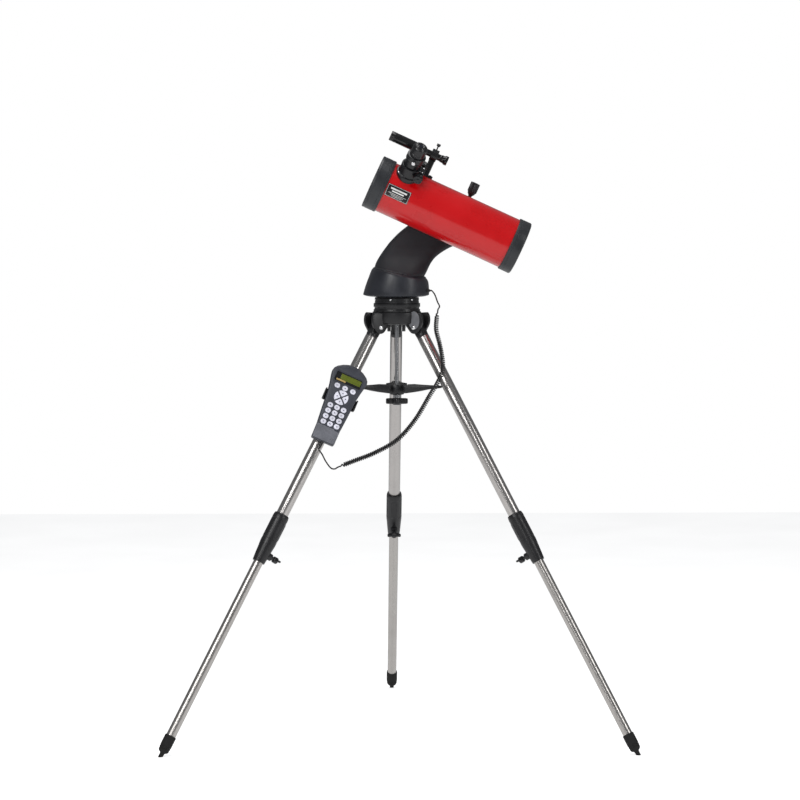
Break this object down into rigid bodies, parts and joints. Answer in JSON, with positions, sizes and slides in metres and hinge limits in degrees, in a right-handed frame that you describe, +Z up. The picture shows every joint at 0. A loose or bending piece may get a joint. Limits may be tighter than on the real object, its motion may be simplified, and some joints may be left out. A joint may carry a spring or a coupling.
{
  "type": "reflecting telescope on a motor head and tripod",
  "caption": "Short reflecting telescope on a one-arm motorised head, with a folding steel tripod, finder, focuser and a corded keypad handset hung on one leg.",
  "frame": {"origin": "on the floor, in the middle of the box that the three feet span; the azimuth axis stands at x = 0 and y = -0.1762", "axes": "+Z up; the telescope's open end points to -X and upwards, the user and the handset are on the -Y side, the back leg points to +Y"},
  "size_m": [1.2332, 1.0716, 1.5918],
  "materials": {
    "black_casting": "satin black die casting",
    "black_plastic": "moulded, fine grain",
    "charcoal_plastic": "satin moulded housing",
    "red_paint": "glossy enamel on rolled steel sheet",
    "stainless": "polished stainless tube",
    "chrome": "bright plated screws",
    "mirror_glass": "aluminised glass",
    "matt_black": "flat black",
    "handset_plastic": "blue-grey moulded case",
    "screen_glass": "olive liquid crystal window",
    "key_rubber": "pale silicone keys",
    "cord_plastic": "black flexible cord jacket",
    "foot_rubber": "black rubber foot"
  },
  "bodies": {
    "tripod": {"hub": "black_casting", "azimuth_neck": "black_casting", "centre_rod": "chrome", "tray_hub": "black_plastic", "pivot_bolt_left": "chrome", "pivot_bolt_right": "chrome", "pivot_bolt_back": "chrome", "lead_top": "cord_plastic", "curl_top": "cord_plastic", "curl_low": "cord_plastic", "lead_low": "cord_plastic"},
    "tray_knob": {"tray_knob": "black_plastic"},
    "mount": {"drum_housing": "charcoal_plastic", "arm": "charcoal_plastic", "drum_plug": "cord_plastic"},
    "saddle": {"altitude_flange": "charcoal_plastic", "saddle": "black_casting"},
    "saddle_knob": {"saddle_knob": "black_plastic"},
    "telescope": {"dovetail_bar": "black_casting", "main_tube": "red_paint", "front_ring": "charcoal_plastic", "rear_cell": "charcoal_plastic", "primary_mirror": "mirror_glass", "spider": "matt_black", "secondary_mirror": "mirror_glass", "focuser_body": "black_casting", "finder": "black_plastic", "finder_bracket": "black_casting"},
    "focus_knobs": {"focus_knobs": "black_plastic"},
    "drawtube": {"drawtube": "black_plastic", "eyepiece": "black_plastic"},
    "eyepiece_screw": {"eyepiece_screw": "chrome"},
    "finder_screw": {"finder_screw": "chrome"},
    "keypad": {"keypad": "key_rubber"},
    "leg_left": {"leg_top_left": "black_plastic", "upper_tube_left": "stainless", "clamp_left": "black_plastic", "handset_shell": "handset_plastic", "handset_screen": "screen_glass", "handset_holder": "black_plastic", "handset_plug": "cord_plastic"},
    "lower_leg_left": {"lower_tube_left": "stainless", "foot_left": "foot_rubber"},
    "lock_knob_left": {"lock_knob_left": "black_plastic"},
    "tray_arm_left": {"tray_arm_left": "black_plastic"},
    "leg_right": {"leg_top_right": "black_plastic", "upper_tube_right": "stainless", "clamp_right": "black_plastic"},
    "lower_leg_right": {"lower_tube_right": "stainless", "foot_right": "foot_rubber"},
    "lock_knob_right": {"lock_knob_right": "black_plastic"},
    "tray_arm_right": {"tray_arm_right": "black_plastic"},
    "leg_back": {"leg_top_back": "black_plastic", "upper_tube_back": "stainless", "clamp_back": "black_plastic"},
    "lower_leg_back": {"lower_tube_back": "stainless", "foot_back": "foot_rubber"},
    "lock_knob_back": {"lock_knob_back": "black_plastic"},
    "tray_arm_back": {"tray_arm_back": "black_plastic"}
  },
  "joints": [
    {"name": "azimuth_turn", "type": "hinge", "parent": "tripod", "child": "mount", "pos_m": [0, -0.17621, 1.158], "axis": [0, 0, 1], "range_deg": [-120, 120], "deforming": ["lead_top", "curl_top"]},
    {"name": "altitude_tilt", "type": "hinge", "parent": "mount", "child": "saddle", "pos_m": [0.163, -0.25121, 1.3575], "axis": [0, 1, 0], "range_deg": [-24, 64]},
    {"name": "balance_slide", "type": "slide", "parent": "saddle", "child": "telescope", "axis": [-0.9092, 0, 0.4163], "range_m": [-0.04, 0.04]},
    {"name": "saddle_knob_turn", "type": "hinge", "parent": "saddle", "child": "saddle_knob", "pos_m": [0.18019, -0.17121, 1.39505], "axis": [0.4163, 0, 0.9092], "range_deg": [0, 330]},
    {"name": "focus_knob_turn", "type": "hinge", "parent": "telescope", "child": "focus_knobs", "pos_m": [0.05869, -0.30323, 1.484], "axis": [0.2447, 0.809, 0.5344], "range_deg": [-180, 300]},
    {"name": "focus_slide", "type": "slide", "parent": "telescope", "child": "drawtube", "axis": [0.3368, -0.5878, 0.7356], "range_m": [-0.0145, 0.024]},
    {"name": "eyepiece_screw_turn", "type": "hinge", "parent": "drawtube", "child": "eyepiece_screw", "pos_m": [0.04041, -0.34649, 1.51014], "axis": [-0.2447, -0.809, -0.5344], "range_deg": [0, 330]},
    {"name": "finder_screw_turn", "type": "hinge", "parent": "telescope", "child": "finder_screw", "pos_m": [0.10263, -0.24121, 1.54274], "axis": [0.4163, 0, 0.9092], "range_deg": [0, 330]},
    {"name": "tray_knob_turn", "type": "hinge", "parent": "tripod", "child": "tray_knob", "pos_m": [0, -0.17621, 0.889], "axis": [0, 0, 1], "range_deg": [0, 330]},
    {"name": "leg_left_fold", "type": "hinge", "parent": "tripod", "child": "leg_left", "pos_m": [-0.05499, -0.20796, 1.078], "axis": [0.5, -0.866, 0], "range_deg": [0, 26], "deforming": ["curl_low", "lead_low"]},
    {"name": "leg_left_slide", "type": "slide", "parent": "leg_left", "child": "lower_leg_left", "axis": [0.4428, 0.2556, 0.8594], "range_m": [0, 0.42]},
    {"name": "lock_knob_left_turn", "type": "hinge", "parent": "leg_left", "child": "lock_knob_left", "pos_m": [-0.32971, -0.36657, 0.48945], "axis": [0.7443, 0.4297, -0.5113], "range_deg": [0, 180]},
    {"name": "tray_arm_left_fold", "type": "hinge", "parent": "tripod", "child": "tray_arm_left", "pos_m": [-0.03118, -0.19421, 0.914], "axis": [0.5, -0.866, 0], "range_deg": [0, 84.5]},
    {"name": "leg_right_fold", "type": "hinge", "parent": "tripod", "child": "leg_right", "pos_m": [0.05499, -0.20796, 1.078], "axis": [0.5, 0.866, 0], "range_deg": [0, 26]},
    {"name": "leg_right_slide", "type": "slide", "parent": "leg_right", "child": "lower_leg_right", "axis": [-0.4428, 0.2556, 0.8594], "range_m": [0, 0.42]},
    {"name": "lock_knob_right_turn", "type": "hinge", "parent": "leg_right", "child": "lock_knob_right", "pos_m": [0.32971, -0.36657, 0.48945], "axis": [-0.7443, 0.4297, -0.5113], "range_deg": [0, 180]},
    {"name": "tray_arm_right_fold", "type": "hinge", "parent": "tripod", "child": "tray_arm_right", "pos_m": [0.03118, -0.19421, 0.914], "axis": [0.5, 0.866, 0], "range_deg": [0, 84.5]},
    {"name": "leg_back_fold", "type": "hinge", "parent": "tripod", "child": "leg_back", "pos_m": [0, -0.11271, 1.078], "axis": [-1, 0, 0], "range_deg": [0, 26]},
    {"name": "leg_back_slide", "type": "slide", "parent": "leg_back", "child": "lower_leg_back", "axis": [0, -0.5113, 0.8594], "range_m": [0, 0.42]},
    {"name": "lock_knob_back_turn", "type": "hinge", "parent": "leg_back", "child": "lock_knob_back", "pos_m": [0, 0.20451, 0.48945], "axis": [0, -0.8594, -0.5113], "range_deg": [0, 180]},
    {"name": "tray_arm_back_fold", "type": "hinge", "parent": "tripod", "child": "tray_arm_back", "pos_m": [0, -0.14021, 0.914], "axis": [-1, 0, 0], "range_deg": [0, 84.5]},
    {"name": "keypad_press", "type": "slide", "parent": "leg_left", "child": "keypad", "axis": [-0.1185, 0.9668, -0.2265], "range_m": [0, 0.0008], "stiffness_N_per_m": 4000, "springref_m": -0.0003}
  ],
  "couplings": [
    {"joint": "focus_slide", "follows": "focus_knob_turn", "m_per_rad": 0.0045},
    {"joint": "tray_arm_left_fold", "follows": "leg_left_fold", "ratio": 3.25},
    {"joint": "leg_right_fold", "follows": "leg_left_fold", "ratio": 1},
    {"joint": "tray_arm_right_fold", "follows": "leg_left_fold", "ratio": 3.25},
    {"joint": "leg_back_fold", "follows": "leg_left_fold", "ratio": 1},
    {"joint": "tray_arm_back_fold", "follows": "leg_left_fold", "ratio": 3.25}
  ]
}
